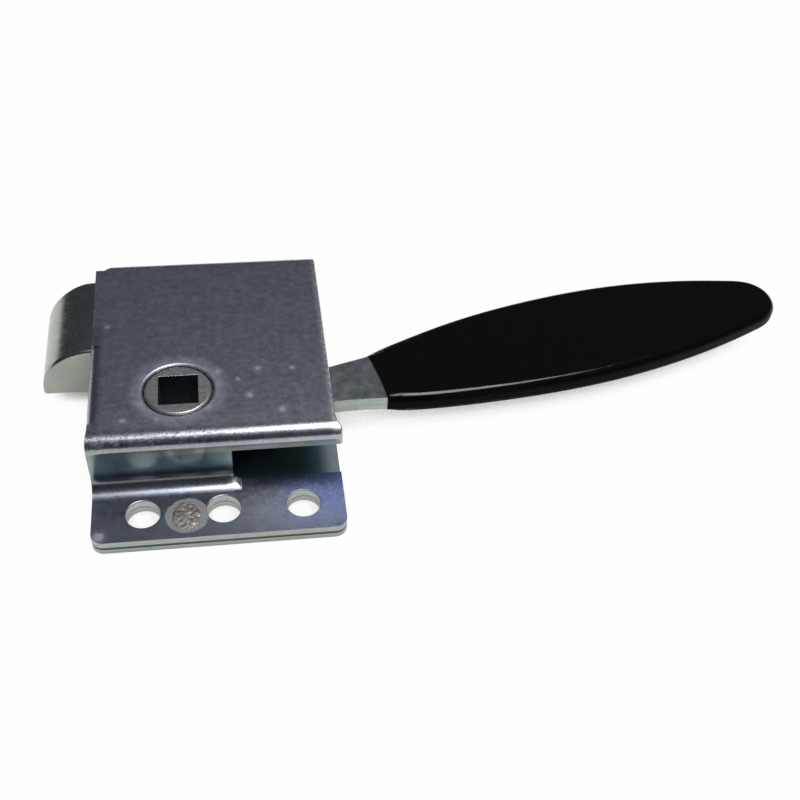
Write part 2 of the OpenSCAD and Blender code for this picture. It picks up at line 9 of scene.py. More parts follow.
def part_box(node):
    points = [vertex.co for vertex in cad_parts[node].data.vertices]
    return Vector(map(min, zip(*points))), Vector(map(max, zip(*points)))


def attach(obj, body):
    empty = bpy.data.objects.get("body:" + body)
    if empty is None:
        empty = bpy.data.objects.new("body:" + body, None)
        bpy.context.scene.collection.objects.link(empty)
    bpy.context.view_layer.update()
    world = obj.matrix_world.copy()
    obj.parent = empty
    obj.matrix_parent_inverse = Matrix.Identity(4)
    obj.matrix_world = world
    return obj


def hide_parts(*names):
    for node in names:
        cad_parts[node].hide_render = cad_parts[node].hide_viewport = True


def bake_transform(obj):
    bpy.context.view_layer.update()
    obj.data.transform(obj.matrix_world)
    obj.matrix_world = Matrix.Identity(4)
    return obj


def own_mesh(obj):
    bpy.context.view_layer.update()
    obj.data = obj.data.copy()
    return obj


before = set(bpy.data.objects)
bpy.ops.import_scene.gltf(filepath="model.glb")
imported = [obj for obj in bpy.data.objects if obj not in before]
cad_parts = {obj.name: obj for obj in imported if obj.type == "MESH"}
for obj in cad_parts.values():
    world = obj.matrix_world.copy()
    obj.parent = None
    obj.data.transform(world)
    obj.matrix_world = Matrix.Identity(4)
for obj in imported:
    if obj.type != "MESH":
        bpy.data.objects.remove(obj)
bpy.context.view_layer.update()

MM = 0.001

# Heights and places on the latch, in millimetres
BASE_TOP = 1.9
DECK = 4.66
CASE_TOP = 24.0
BEND_R = 4.0
BEND_FRONT = -15.3
BEND_BACK = 53.75
TOP_RIGHT = 43.3
SHEET = 2.66
FLANGE_LEFT = -25.27
FLANGE_RIGHT = 44.9
FLANGE_FRONT = -37.85
CASE_BACK = 57.75
HUB_HOLE_R = 10.025
SEAT = 2.0
HOLES_X = (-11.275, 10.95, 33.175)
HOLE_Y = -28.6
HOLE_R = 4.7625
WELD = (0.5, -30.25)
LEVER_ANGLE = 11.75
BLADE_MID = 10.62
BLADE_HALF = 2.38
COAT = 1.2
DIP_LINE = 60.0
TIP_START = 188.76
TIP_R = 9.94
TIP_STEP = 0.45
TIP_SLOPE = 0.193


def mm(*values):
    """A point given in millimetres, in metres."""
    return Vector(values) * MM


# Finishes

def new_finish(name, metallic=0.0):
    material = bpy.data.materials.new(name)
    material.use_nodes = True
    tree = material.node_tree
    shader = tree.nodes["Principled BSDF"]
    shader.inputs["Metallic"].default_value = metallic
    return material, tree, shader


def set_input(tree, socket, value):
    """Links a socket, or writes a number or colour on it."""
    if isinstance(value, bpy.types.NodeSocket):
        tree.links.new(value, socket)
    elif socket.type == "RGBA":
        socket.default_value = (*value, 1.0)
    else:
        socket.default_value = value


def add(tree, kind, settings=None, **inputs):
    made = tree.nodes.new(kind)
    for key, value in (settings or {}).items():
        setattr(made, key, value)
    for key, value in inputs.items():
        set_input(tree, made.inputs[key.replace("_", " ")], value)
    return made


def place_in_mm(tree, stretch=(1, 1, 1), turn=0.0):
    """Object coordinates in millimetres, turned about Z and drawn out by stretch."""
    coords = add(tree, "ShaderNodeTexCoord")
    turned = add(tree, "ShaderNodeMapping", Vector=coords.outputs["Object"],
                 Rotation=(0, 0, radians(turn)))
    scaled = add(tree, "ShaderNodeMapping", Vector=turned.outputs["Vector"],
                 Scale=tuple(1 / (MM * s) for s in stretch))
    return scaled.outputs["Vector"]


def grain(tree, size, detail=2.0, stretch=(1, 1, 1), turn=0.0, rough=0.5):
    """Noise whose blots are about size millimetres across."""
    made = add(tree, "ShaderNodeTexNoise", Vector=place_in_mm(tree, stretch, turn),
               Scale=1 / size, Detail=detail, Roughness=rough)
    return made.outputs["Fac"]


def spread(tree, value, low, high, to_low=0.0, to_high=1.0):
    """Carries value from low..high to to_low..to_high and holds it there."""
    made = add(tree, "ShaderNodeMapRange", {"clamp": True})
    for socket, number in zip(made.inputs, (value, low, high, to_low, to_high)):
        set_input(tree, socket, number)
    return made.outputs["Result"]


def sums(tree, operation, a, b=0.0):
    made = add(tree, "ShaderNodeMath", {"operation": operation})
    set_input(tree, made.inputs[0], a)
    set_input(tree, made.inputs[1], b)
    return made.outputs["Value"]


def times(tree, *values):
    total = values[0]
    for value in values[1:]:
        total = sums(tree, "MULTIPLY", total, value)
    return total


def highest(tree, *values):
    top = values[0]
    for value in values[1:]:
        top = sums(tree, "MAXIMUM", top, value)
    return top


def apart(tree, value, place):
    """How far a coordinate is from a place, either way."""
    return sums(tree, "ABSOLUTE", sums(tree, "SUBTRACT", value, place))


def mix_colours(tree, share, a, b):
    made = add(tree, "ShaderNodeMix", {"data_type": "RGBA"})
    set_input(tree, made.inputs["Factor"], share)
    first, second = [s for s in made.inputs if s.type == "RGBA"]
    set_input(tree, first, a)
    set_input(tree, second, b)
    return [s for s in made.outputs if s.type == "RGBA"][0]


def bump(tree, shader, height, distance):
    made = add(tree, "ShaderNodeBump", Height=height, Distance=distance * MM)
    tree.links.new(made.outputs["Normal"], shader.inputs["Normal"])


def split_place(tree):
    made = add(tree, "ShaderNodeSeparateXYZ", Vector=place_in_mm(tree))
    return made.outputs["X"], made.outputs["Y"], made.outputs["Z"]


def ragged_place(tree, wander, size):
    """Millimetre coordinates pushed about by noise, for ragged outlines."""
    ragged = add(tree, "ShaderNodeTexNoise", Vector=place_in_mm(tree), Scale=1 / size, Detail=3.0)
    shift = add(tree, "ShaderNodeVectorMath", {"operation": "MULTIPLY_ADD"})
    tree.links.new(ragged.outputs["Color"], shift.inputs[0])
    shift.inputs[1].default_value = (wander, wander, 0.0)
    tree.links.new(place_in_mm(tree), shift.inputs[2])
    return shift.outputs["Vector"]


def distance_to(tree, place, centre, wander=0.0):
    gap = add(tree, "ShaderNodeVectorMath", {"operation": "DISTANCE"})
    tree.links.new(place, gap.inputs[0])
    gap.inputs[1].default_value = (centre[0] + wander / 2, centre[1] + wander / 2, centre[2])
    return gap.outputs["Value"]


def spots(tree, centres, radius, wander=1.6):
    """Ragged round blots at places of (x, y, z, share of the radius), 1 inside and 0 outside."""
    place = ragged_place(tree, wander, 1.8)
    blots = []
    for x, y, z, share in centres:
        gap = distance_to(tree, place, (x, y, z), wander)
        blots.append(spread(tree, gap, radius * share, radius * share * 0.3))
    return highest(tree, *blots)


def scratches(tree, turn, length, width, rarity):
    """Fine straight lines at an angle: 1 on a line, 0 between."""
    return spread(tree, grain(tree, 1.0, 1.0, (length, width, length), turn), rarity, rarity + 0.06)


# Middles of the spots on the plating, each with its share of the common radius
DRIED_DROPS = [
    (11.4, 6.4, CASE_TOP, 0.8), (22.7, 6.7, CASE_TOP, 0.9), (32.5, 6.3, CASE_TOP, 0.75),
    (19.9, -3.9, CASE_TOP, 1.0), (28.9, -10.0, CASE_TOP, 0.9), (16.9, 2.9, CASE_TOP, 0.6),
    (-20.5, 27.6, CASE_TOP, 0.7), (-10.2, -5.0, CASE_TOP, 0.9), (7.8, -7.6, CASE_TOP, 0.7),
    (-5.8, -11.0, CASE_TOP, 0.6), (-15.1, -11.0, CASE_TOP, 0.8), (-23.2, -35.6, DECK, 1.5),
]
# Middle of the painted highlight on the corner where the foot bend ends at the window sill
SILL_END_HIGHLIGHT = (14.7, -20.0, 6.0, 1.0)
BLUE_CORNER = (42, -21, DECK)
WELD_HEAT = (0.8, -30.2, DECK)


def cover_zones(tree):
    """Millimetre coordinates on the cover and its zones, each 1 inside and 0 outside."""
    x, y, z = split_place(tree)
    in_front = spread(tree, y, -13.0, -15.0)
    line_or_lip = highest(tree, spread(tree, x, 12.5, 13.5), spread(tree, z, 17.6, 18.8))
    under_bend = times(tree, spread(tree, y, -15.0, -16.5), spread(tree, z, 15.8, 17.2),
                       spread(tree, z, 21.3, 20.0), line_or_lip)
    return SimpleNamespace(
        x=x, y=y, z=z, in_front=in_front, under_bend=under_bend,
        lip=times(tree, under_bend, spread(tree, x, 13.0, 14.0), spread(tree, z, 19.5, 18.5)),
        top=spread(tree, z, 21.0, 23.8),
        bend=times(tree, spread(tree, y, -14.0, -16.5), spread(tree, z, 20.3, 22.3)),
        wall=times(tree, in_front, spread(tree, z, 8.0, 10.0), spread(tree, z, 19.0, 17.0)),
        flange=times(tree, in_front, spread(tree, z, 8.0, 5.0)))


def cover_marks(tree, at):
    """Marks that change both the colour and the gloss of the cover, two of them painted highlights."""
    from_hub = distance_to(tree, ragged_place(tree, 2.0, 3.0), (0, 0, CASE_TOP), 2.0)
    from_weld = distance_to(tree, ragged_place(tree, 1.2, 2.0), WELD_HEAT, 1.2)
    right_edge = spread(tree, at.x, TOP_RIGHT - 2.0, TOP_RIGHT - 0.7)
    return SimpleNamespace(
        halo=times(tree, at.top, spread(tree, from_hub, 15.0, 10.0, 0.0, 0.85)),
        heated=times(tree, at.flange, spread(tree, from_weld, 6.5, 5.9)),
        drops=times(tree, spots(tree, DRIED_DROPS, 2.4), 0.75),
        # Painted highlight on the corner where the foot bend ends at the window sill
        sill_end_highlight=spots(tree, [SILL_END_HIGHLIGHT], 2.6),
        # Painted highlight along the rolled right edge of the top
        rolled_edge_highlight=times(tree, spread(tree, at.z, 21.0, 23.0), right_edge,
                     spread(tree, grain(tree, 1.6, 3.0), 0.3, 0.6, 0.5, 1.0)))


def painted_wall_reflections(tree, at, colour):
    """The front wall in painted reflections, over a teal partly the plating's own: darker in the middle, pale
    at both ends and behind the first bolt hole.
    """
    # Painted reflections of the flange, the floor and the first bolt hole on the wall, over a teal partly its
    # own
    colour = mix_colours(tree, times(tree, at.wall, 0.85), colour, (0.16, 0.245, 0.265))
    middle = spread(tree, apart(tree, at.x, 5.0), 8.5, 5.0, 0.0, 0.5)
    colour = mix_colours(tree, times(tree, at.wall, middle), colour, (0.1, 0.16, 0.175))
    pale = highest(tree, spread(tree, at.x, 11.5, 13.5), spread(tree, at.x, -18.0, -22.0),
                   spread(tree, apart(tree, at.x, -11.0), 4.8, 2.6, 0.0, 0.6))
    return mix_colours(tree, times(tree, at.wall, pale, 0.85), colour, (0.34, 0.45, 0.43))


def front_colour(tree, at, colour):
    """A bluish flange, a greenish line and lip under the bend, and a dark sill at the window; the line's
    tint, darker at the left, is painted reflection.
    """
    colour = mix_colours(tree, times(tree, at.flange, 0.6), colour, (0.36, 0.4, 0.52))
    # Painted reflection: the line under the bend mirrors the floor, and this tint, darker at the left,
    # colours and dims it
    line_reflection_tint = mix_colours(tree, spread(tree, at.x, -5.0, 15.0), (0.3, 0.345, 0.28), (0.42, 0.45, 0.39))
    colour = mix_colours(tree, times(tree, at.under_bend, 0.9), colour, line_reflection_tint)
    colour = mix_colours(tree, times(tree, at.lip, 0.7), colour, (0.36, 0.37, 0.24))
    sill = times(tree, at.flange, spread(tree, at.x, 17.0, 22.0), spread(tree, at.y, -24.0, -19.5, 0.0, 0.75))
    return mix_colours(tree, sill, colour, (0.13, 0.155, 0.26))


def bend_colour(tree, at, colour):
    """Brushed lines on top, and painted shade: darker metal on the front bend and its left end that dims
    their highlight, low on the walls over the foot bend, and a dark band at the left edge.
    """
    brushed = spread(tree, grain(tree, 0.3, 2.0, (12, 1, 12), 4), 0.4, 0.7, 0.0, 0.3)
    colour = mix_colours(tree, times(tree, at.top, brushed), colour, (0.58, 0.61, 0.68))
    # Painted shade that dims the front bend's highlight, most at the left and at the bend's left end
    bend_highlight_shade = times(tree, at.bend, spread(tree, at.x, 12.0, 34.0, 0.92, 0.3),
                   spread(tree, grain(tree, 2.6, 3.0), 0.36, 0.6, 0.7, 1.0))
    left_end_shade = times(tree, at.bend, spread(tree, at.x, -20.5, -24.0))
    colour = mix_colours(tree, highest(tree, bend_highlight_shade, left_end_shade), colour, (0.085, 0.09, 0.105))
    # Painted shade that dims the highlight on the foot bend, low on the walls
    foot_bend_shade = times(tree, spread(tree, at.z, 10.5, 8.5), spread(tree, at.z, 4.7, 5.2),
                     spread(tree, at.y, -24.0, -22.8))
    colour = mix_colours(tree, times(tree, foot_bend_shade, 0.55), colour, (0.13, 0.14, 0.15))
    # Painted shade: a dark band along the left bend, where it mirrors the dark room
    left_bend_shade = times(tree, at.top, spread(tree, at.x, -21.2, -22.4, 0.0, 0.65),
                      spread(tree, at.y, 29.0, 27.0))
    return mix_colours(tree, left_bend_shade, colour, (0.15, 0.16, 0.18))


def speckled_colour(tree, at, colour):
    """Fine flecks, most of them on top, and crossing scratches on the top and the flange."""
    fleck = spread(tree, grain(tree, 0.45, 2.0), 0.42, 0.7)
    fleck = times(tree, fleck, spread(tree, at.z, 19.0, 24.0, 0.12, 0.52))
    colour = mix_colours(tree, fleck, colour, (0.6, 0.63, 0.66))
    line = highest(tree, scratches(tree, 35, 6.0, 0.16, 0.66), scratches(tree, -20, 5.0, 0.14, 0.68),
                   scratches(tree, 80, 4.0, 0.14, 0.67))
    line = times(tree, line, 0.35, highest(tree, at.top, at.flange))
    return mix_colours(tree, line, colour, (0.7, 0.72, 0.76))


def worn_colour(tree, at, marks, colour):
    """Wear round the hub and before the bend, a blue corner, scuffs, the weld's heat and dried drops, and
    painted highlights at the end of the sill and along the rolled right edge.
    """
    colour = mix_colours(tree, marks.halo, colour, (0.6, 0.61, 0.72))
    rubbed = times(tree, at.top, spread(tree, at.y, -5.0, -13.0, 0.0, 0.6),
                   spread(tree, grain(tree, 0.7, 4.0, rough=0.7), 0.42, 0.64))
    colour = mix_colours(tree, rubbed, colour, (0.66, 0.68, 0.76))
    from_corner = distance_to(tree, ragged_place(tree, 5.0, 4.0), BLUE_CORNER, 5.0)
    blue = times(tree, at.flange, spread(tree, from_corner, 22.0, 4.0, 0.0, 0.82))
    colour = mix_colours(tree, blue, colour, (0.22, 0.31, 0.7))
    scuff = times(tree, at.flange, spread(tree, grain(tree, 0.55, 4.0, rough=0.7), 0.54, 0.68),
                  spread(tree, at.x, -5.0, 20.0, 0.25, 0.6))
    colour = mix_colours(tree, scuff, colour, (0.72, 0.76, 0.82))
    mottle = spread(tree, grain(tree, 1.2, 3.0), 0.3, 0.7)
    pale_grey = mix_colours(tree, mottle, (0.47, 0.48, 0.47), (0.63, 0.63, 0.61))
    colour = mix_colours(tree, marks.heated, colour, pale_grey)
    colour = mix_colours(tree, marks.drops, colour, (0.72, 0.75, 0.82))
    colour = mix_colours(tree, marks.sill_end_highlight, colour, (0.95, 0.96, 0.96))
    return mix_colours(tree, marks.rolled_edge_highlight, colour, (0.86, 0.88, 0.87))


def cover_roughness(tree, at, marks):
    """Satin on top, a blurred mirror on the walls, uneven on the bend, duller on the flange and lip."""
    rough = highest(tree, spread(tree, at.z, 20.5, 23.8, 0.17, 0.36),
                    times(tree, at.in_front, spread(tree, at.z, 5.0, 10.0, 0.3, 0.17)))
    rough = sums(tree, "ADD", rough, times(tree, marks.halo, 0.14))
    uneven = spread(tree, grain(tree, 1.8, 3.0), 0.35, 0.65, 0.72, 1.25)
    rough = highest(tree, rough, times(tree, at.bend, spread(tree, at.x, -24.0, 36.0, 0.37, 0.25), uneven))
    to_right = times(tree, at.flange, spread(tree, at.x, 6.0, 32.0),
                     spread(tree, at.y, -19.5, -25.0, 0.1, 1.0), spread(tree, at.y, -37.0, -31.0, 0.4, 1.0))
    rough = sums(tree, "ADD", rough, times(tree, to_right, 0.2))
    rough = sums(tree, "ADD", rough, times(tree, at.lip, 0.25))
    rough = times(tree, rough, spread(tree, grain(tree, 2.2, 4.0, rough=0.6), 0.32, 0.68, 0.9, 1.11))
    return highest(tree, rough, times(tree, marks.drops, 0.62), times(tree, marks.heated, 0.46),
                   times(tree, marks.sill_end_highlight, 0.42), times(tree, marks.rolled_edge_highlight, 0.46))


def folded_zinc(name):
    """Zinc plate on the folded cover: dull and marked on top, blurred mirror on the wall, scuffed below, with
    painted reflections on the wall, painted shade on the bends and painted highlights at the sill's end and
    the right edge.
    """
    material, tree, shader = new_finish(name, 1.0)
    at = cover_zones(tree)
    marks = cover_marks(tree, at)
    cloud = spread(tree, grain(tree, 6, 8.0, rough=0.66), 0.34, 0.66)
    colour = mix_colours(tree, cloud, (0.34, 0.362, 0.408), (0.45, 0.472, 0.522))
    for tinted in (painted_wall_reflections, front_colour, bend_colour, speckled_colour):
        colour = tinted(tree, at, colour)
    colour = worn_colour(tree, at, marks, colour)
    tree.links.new(colour, shader.inputs["Base Color"])
    tree.links.new(cover_roughness(tree, at, marks), shader.inputs["Roughness"])
    bend_dents = times(tree, at.bend, grain(tree, 2.4, 2.0), spread(tree, at.x, -24.0, 30.0, 2.4, 0.8))
    bump(tree, shader, sums(tree, "ADD", times(tree, grain(tree, 0.8, 3.0), 0.25), bend_dents), 0.03)
    return material


def zinc(name, pale, deep, rough, shade_until=None):
    """Mottled, speckled zinc plate. Given an X to darken up to, its upper side is dull, and painted dark teal
    up to that X: painted shade under the cover's top.
    """
    material, tree, shader = new_finish(name, 1.0)
    cloud = spread(tree, grain(tree, 7, 8.0, rough=0.62), 0.32, 0.68)
    colour = mix_colours(tree, cloud, deep, pale)
    fleck = spread(tree, grain(tree, 0.4, 2.0), 0.42, 0.7, 0.0, 0.3)
    colour = mix_colours(tree, fleck, colour, tuple(min(1.0, c * 1.5) for c in pale))
    line = times(tree, scratches(tree, 20, 5.0, 0.15, 0.66), 0.5)
    colour = mix_colours(tree, line, colour, (0.7, 0.72, 0.74))
    worn = spread(tree, grain(tree, 3, 3.0), 0.3, 0.7, rough * 0.85, rough * 1.18)
    if shade_until is not None:
        rubbed = spread(tree, grain(tree, 0.5, 3.0), 0.5, 0.68, 0.0, 0.3)
        colour = mix_colours(tree, rubbed, colour, (0.78, 0.8, 0.82))
        x, _, z = split_place(tree)
        upper_side = spread(tree, z, BASE_TOP - 0.2, BASE_TOP - 0.02)
        # Painted shade: the plate's upper side is dark teal where the cover's top shades it
        inside = times(tree, upper_side, spread(tree, x, shade_until + 2.4, shade_until - 1.6), 0.85)
        colour = mix_colours(tree, inside, colour, (0.075, 0.17, 0.2))
        worn = highest(tree, worn, times(tree, upper_side, 0.45))
    tree.links.new(colour, shader.inputs["Base Color"])
    tree.links.new(worn, shader.inputs["Roughness"])
    bump(tree, shader, grain(tree, 0.8, 3.0), 0.006)
    return material


def sheared_edge(name, deep, pale, seam_shade):
    """Cut edge of plated sheet: pale, with a few fine lines along the cut and painted shade in the flange's
    seam.
    """
    material, tree, shader = new_finish(name, 1.0)
    line = spread(tree, grain(tree, 0.7, 3.0, (6, 6, 0.7)), 0.3, 0.7)
    colour = mix_colours(tree, line, deep, pale)
    nick = spread(tree, grain(tree, 1.1, 4.0), 0.62, 0.7, 0.0, 0.5)
    colour = mix_colours(tree, nick, colour, (0.2, 0.21, 0.21))
    z = split_place(tree)[2]
    # Painted shade in the seam between the flange's two layers
    seam = times(tree, spread(tree, z, 1.75, 1.95), spread(tree, z, 2.8, 2.55), seam_shade)
    colour = mix_colours(tree, seam, colour, (0.03, 0.032, 0.032))
    tree.links.new(colour, shader.inputs["Base Color"])
    tree.links.new(spread(tree, grain(tree, 1.2), 0.3, 0.7, 0.24, 0.36), shader.inputs["Roughness"])
    bump(tree, shader, line, 0.012)
    return material


def weld_bead(name):
    """Plug weld: rough and heat-browned."""
    material, tree, shader = new_finish(name, 0.8)
    fine = spread(tree, grain(tree, 0.9, 5.0, rough=0.65), 0.32, 0.66)
    colour = mix_colours(tree, fine, (0.21, 0.185, 0.175), (0.52, 0.49, 0.475))
    brown = spread(tree, grain(tree, 3.0, 2.0), 0.45, 0.62, 0.0, 0.5)
    colour = mix_colours(tree, brown, colour, (0.22, 0.165, 0.13))
    tree.links.new(colour, shader.inputs["Base Color"])
    tree.links.new(spread(tree, grain(tree, 1.0, 3.0), 0.3, 0.7, 0.42, 0.6), shader.inputs["Roughness"])
    bump(tree, shader, grain(tree, 0.7, 4.0), 0.09)
    return material


def bolt_steel(name):
    """Plated sintered bolt: satin, close-grained."""
    material, tree, shader = new_finish(name, 1.0)
    cloud = spread(tree, grain(tree, 9, 4.0), 0.3, 0.7)
    colour = mix_colours(tree, cloud, (0.32, 0.345, 0.31), (0.39, 0.415, 0.375))
    fleck = spread(tree, grain(tree, 0.4, 2.0), 0.5, 0.72, 0.0, 0.3)
    colour = mix_colours(tree, fleck, colour, (0.5, 0.52, 0.48))
    mark = times(tree, spots(tree, [(-30.3, 29.0, 20.6, 0.6)], 1.7), 0.6)
    colour = mix_colours(tree, mark, colour, (0.7, 0.7, 0.68))
    tree.links.new(colour, shader.inputs["Base Color"])
    tree.links.new(spread(tree, grain(tree, 2.5, 3.0), 0.3, 0.7, 0.2, 0.3), shader.inputs["Roughness"])
    bump(tree, shader, grain(tree, 0.6, 3.0), 0.004)
    return material


def sintered(name, dark, light, rough):
    """Pressed-powder or machined steel with a fine even grain."""
    material, tree, shader = new_finish(name, 1.0)
    fleck = spread(tree, grain(tree, 0.35, 3.0), 0.3, 0.7)
    cloud = spread(tree, grain(tree, 5, 2.0), 0.3, 0.7, 0.0, 0.5)
    colour = mix_colours(tree, cloud, mix_colours(tree, fleck, dark, light), light)
    tree.links.new(colour, shader.inputs["Base Color"])
    tree.links.new(spread(tree, grain(tree, 1.5), 0.3, 0.7, rough * 0.88, rough * 1.12),
                   shader.inputs["Roughness"])
    bump(tree, shader, fleck, 0.01)
    return material


def vinyl(name, gloss, low, high):
    """Dipped vinyl with a slow ripple and a little dust, low to high in roughness."""
    material, tree, shader = new_finish(name)
    shader.inputs["Specular IOR Level"].default_value = gloss
    dust = spread(tree, grain(tree, 0.6, 2.0), 0.62, 0.8, 0.0, 0.5)
    colour = mix_colours(tree, dust, (0.0008, 0.0009, 0.0009), (0.005, 0.005, 0.005))
    tree.links.new(colour, shader.inputs["Base Color"])
    tree.links.new(spread(tree, grain(tree, 6, 2.0), 0.3, 0.7, low, high), shader.inputs["Roughness"])
    bump(tree, shader, grain(tree, 9, 1.0), 0.12)
    return material


zinc_cover = folded_zinc("zinc_folded_cover")
zinc_plate = zinc("zinc_base_plate", (0.4, 0.46, 0.47), (0.31, 0.38, 0.4), 0.15, shade_until=40.5)
zinc_lever = zinc("zinc_lever_steel", (0.46, 0.485, 0.48), (0.34, 0.365, 0.385), 0.355)
cut_edge = sheared_edge("zinc_cut_edge", (0.34, 0.375, 0.345), (0.46, 0.5, 0.455), 0.85)
hole_wall = sheared_edge("zinc_hole_wall", (0.66, 0.71, 0.67), (0.85, 0.89, 0.85), 0.15)
weld_metal = weld_bead("browned_weld")
bolt_metal = bolt_steel("satin_bolt_steel")
hub_metal = sintered("sintered_hub_steel", (0.43, 0.425, 0.41), (0.6, 0.595, 0.58), 0.42)
# The hub's square bore: a darkened copy of the hub's steel, painted shade for the deep recess
bore_painted_shade = sintered("bore_steel_painted_shade", (0.1, 0.13, 0.14), (0.16, 0.2, 0.215), 0.4)
pin_metal = sintered("machined_pin_steel", (0.42, 0.42, 0.41), (0.58, 0.58, 0.57), 0.25)
wire_metal = sintered("drawn_spring_wire", (0.25, 0.25, 0.26), (0.42, 0.42, 0.43), 0.28)
black_vinyl = vinyl("black_dipped_vinyl", 0.36, 0.12, 0.2)
# A copy of the black vinyl with little gloss for the grip's lower side, a painted shade that keeps the white
# floor's reflection off it
shaded_side_vinyl = vinyl("black_vinyl_shaded_side", 0.04, 0.3, 0.4)


# Pieces

def piece_from(bm, name, materials, body, node):
    """Makes a bmesh a finished piece that stands for a CAD node, on one body if it is rigid."""
    mesh = bpy.data.meshes.new(name)
    bm.to_mesh(mesh)
    bm.free()
    for material in materials:
        mesh.materials.append(material)
    mesh.shade_smooth()
    piece = bpy.data.objects.new(name, mesh)
    bpy.context.scene.collection.objects.link(piece)
    if body:
        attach(piece, body)
    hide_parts(node)
    return piece


def merged_copy(node):
    """A CAD node's solid as one closed mesh with its flat faces whole."""
    bm = bmesh.new()
    bm.from_mesh(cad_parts[node].data)
    bmesh.ops.remove_doubles(bm, verts=bm.verts, dist=0.002 * MM)
    bmesh.ops.dissolve_limit(bm, angle_limit=radians(0.5), use_dissolve_boundaries=False,
                             verts=bm.verts, edges=bm.edges)
    return bm


def round_edges(bm, wanted, radius, segments=4):
    """Rounds the sharp edges whose middle, in millimetres, and two face normals are wanted."""
    edges = []
    for edge in bm.edges:
        if len(edge.link_faces) == 2 and edge.calc_face_angle() > radians(30):
            middle = (edge.verts[0].co + edge.verts[1].co) / (2 * MM)
            if wanted(middle, [f.normal for f in edge.link_faces]):
                edges.append(edge)
    bmesh.ops.bevel(bm, geom=edges, offset=radius * MM, offset_type="OFFSET", affect="EDGES",
                    segments=segments, profile=0.5, material=-1, clamp_overlap=True)


def break_edges(piece, width, segments=3, angle=32):
    """Rounds a piece's sharp edges, as tumbling and plating leave them."""
    bevel = piece.modifiers.new("broken_edges", "BEVEL")
    bevel.width = width * MM
    bevel.segments = segments
    bevel.limit_method = "ANGLE"
    bevel.angle_limit = radians(angle)
    bevel.material = -1
    level = piece.modifiers.new("flat_faces", "WEIGHTED_NORMAL")
    level.keep_sharp = False
    level.weight = 80


def outer_skin(place):
    """True on the outside of the cover's top plate and its front and back bends."""
    bend_low = 18.5
    middle = SHEET / 2
    for bend_y, way in ((BEND_FRONT, -1), (BEND_BACK, 1)):
        if (place.y - bend_y) * way > 0:
            from_axis = hypot(place.y - bend_y, place.z - CASE_TOP + BEND_R)
            return from_axis > BEND_R - middle and place.z > bend_low
    return place.z > CASE_TOP - middle


def on_outline(place):
    """True along the outer edge of the flange and the base plate."""
    near = 0.1
    corner = 3.7
    from_side = min(place.x - FLANGE_LEFT, FLANGE_RIGHT - place.x)
    from_front = place.y - FLANGE_FRONT
    return (from_side < near or from_front < near or CASE_BACK - place.y < near
            or from_side < corner and from_front < corner)


def from_hole(place):
    """Distance to the middle of the nearest bolt hole."""
    return min(hypot(place.x - x, place.y - HOLE_Y) for x in HOLES_X)


def on_bolt_hole(place):
    return abs(from_hole(place) - HOLE_R) < 0.15


def edge_finish(place):
    """Which finish a cut edge has: the hole wall's beside a bolt hole, or else the sheared edge's."""
    sheared, in_hole = 1, 2
    return in_hole if from_hole(place) < HOLE_R + 0.8 else sheared


def case_cover():
    flange_from = -17
    ear_from = -8
    bm = merged_copy("cover")
    round_edges(bm, lambda p, n: p.z > CASE_TOP - 0.05 and abs(hypot(p.x, p.y) - HUB_HOLE_R) < 0.2, 0.8)
    round_edges(bm, lambda p, n: abs(p.z - DECK) < 0.05 and on_bolt_hole(p), 0.7)
    round_edges(bm, lambda p, n: abs(p.z - SEAT) < 0.05 and p.y < flange_from and on_outline(p), 0.9)
    round_edges(bm, lambda p, n: outer_skin(p) and p.x > TOP_RIGHT - 0.05
                and max(abs(v.x) for v in n) > 0.7, 0.9)
    round_edges(bm, lambda p, n: outer_skin(p) and p.x < FLANGE_LEFT + 0.7 and p.y < ear_from
                and max(abs(v.x) for v in n) > 0.7, 1.2)
    for face in bm.faces:
        place = face.calc_center_median() / MM
        on_right_edge = place.x > TOP_RIGHT - 0.5 and face.normal.x > 0.9
        if abs(face.normal.z) < 0.2 and (place.z < DECK or on_right_edge):
            face.material_index = edge_finish(place)
    piece = piece_from(bm, "case_cover", [zinc_cover, cut_edge, hole_wall], "case", "cover")
    break_edges(piece, 0.25)


def mounting_plate():
    bm = merged_copy("base_plate")
    round_edges(bm, lambda p, n: abs(p.z - BASE_TOP) < 0.05 and on_outline(p), 0.3)
    for face in bm.faces:
        if abs(face.normal.z) < 0.2:
            face.material_index = edge_finish(face.calc_center_median() / MM)
    piece = piece_from(bm, "mounting_plate", [zinc_plate, cut_edge, hole_wall], "case",
                       "base_plate")
    break_edges(piece, 0.2)


